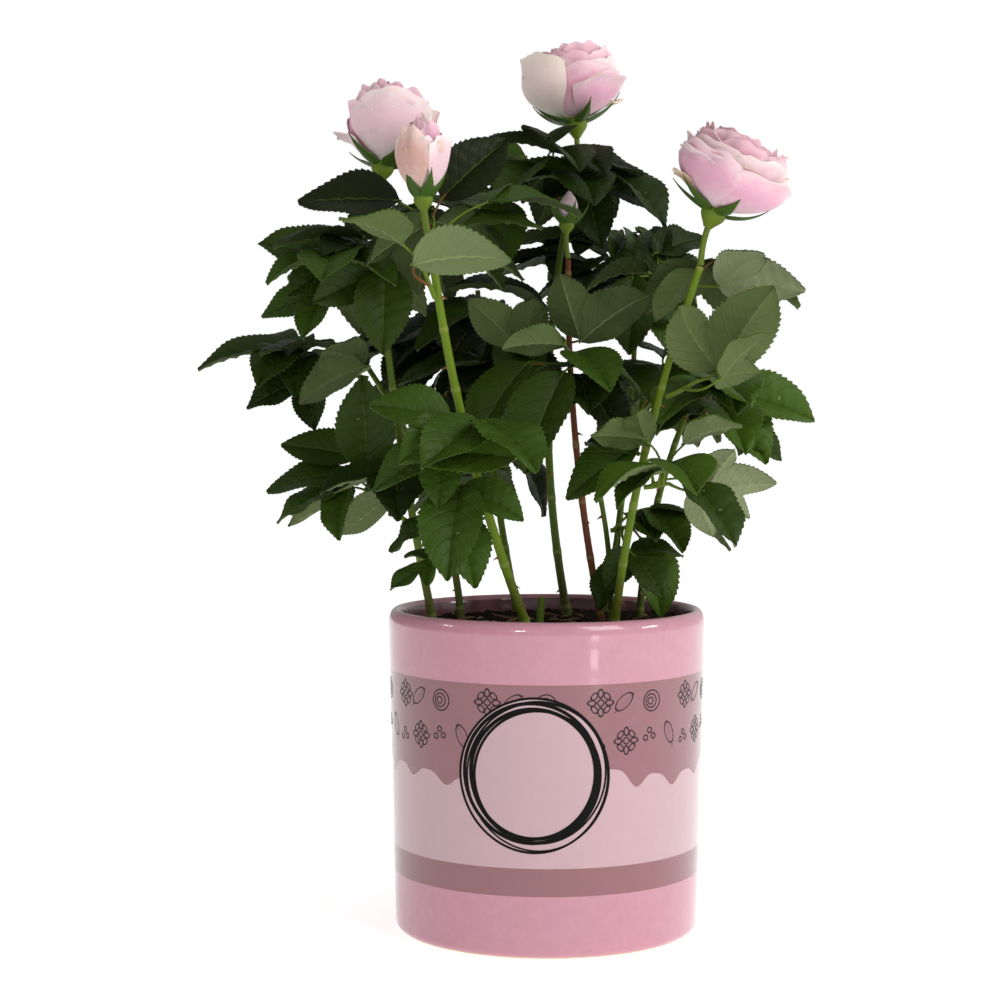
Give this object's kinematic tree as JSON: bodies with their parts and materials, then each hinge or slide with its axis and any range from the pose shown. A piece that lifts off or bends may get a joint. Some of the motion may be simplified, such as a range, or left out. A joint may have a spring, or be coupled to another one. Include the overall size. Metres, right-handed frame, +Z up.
{
  "type": "potted rose bush",
  "caption": "Small rose bush with upright canes, pointed toothed leaves, open blooms and buds, growing in a round glazed ceramic pot filled with soil.",
  "frame": {"origin": "centre of the pot's flat underside", "axes": "+Z up along the pot's axis; +X to the right and +Y to the back, seen from the side that the large open bloom and the front canes lean to"},
  "size_m": [0.2686, 0.2413, 0.3807],
  "materials": {
    "glazed_ceramic": "glossy pink glaze over ceramic, with a matt unglazed line at the foot",
    "potting_soil": "matt dark peat crumb",
    "rose_bark": "smooth green bark with a slight sheen",
    "russet_bark": "smooth reddish brown bark with a slight sheen",
    "rose_leaf": "half-gloss dark green upper side, matt grey-green underside",
    "rose_petal": "soft matt pale pink petals with a faint sheen"
  },
  "bodies": {
    "root": {"pot": "glazed_ceramic", "soil": "potting_soil", "cane_front_left": "rose_bark", "cane_front_right": "rose_bark", "cane_middle": "russet_bark", "cane_middle_short": "rose_bark", "cane_back": "rose_bark", "cane_left": "rose_bark", "cane_back_left": "rose_bark", "cane_right": "rose_bark", "cane_rear_left": "rose_bark", "cane_rear_right": "rose_bark", "bloom_right": "rose_petal", "bloom_top": "rose_petal", "bloom_left": "rose_petal", "bud_front": "rose_petal", "bud_middle": "rose_petal", "leaves_front": "rose_leaf", "leaves_bud": "rose_leaf", "leaves_upper_left": "rose_leaf", "leaves_left": "rose_leaf", "leaves_low_left": "rose_leaf", "leaves_front_middle": "rose_leaf", "leaves_middle": "rose_leaf", "leaves_centre": "rose_leaf", "leaves_top": "rose_leaf", "leaves_upper_right": "rose_leaf", "leaves_bloom_right": "rose_leaf", "leaves_right": "rose_leaf", "leaves_far_right": "rose_leaf", "leaves_low_right": "rose_leaf", "leaves_foot_right": "rose_leaf", "leaves_foot_left": "rose_leaf", "leaves_behind_left": "rose_leaf", "leaves_behind_bud": "rose_leaf", "leaves_behind_low": "rose_leaf", "leaves_behind_right": "rose_leaf", "leaves_behind_top": "rose_leaf", "leaves_inner": "rose_leaf", "leaves_inner_low": "rose_leaf"}
  },
  "joints": []
}
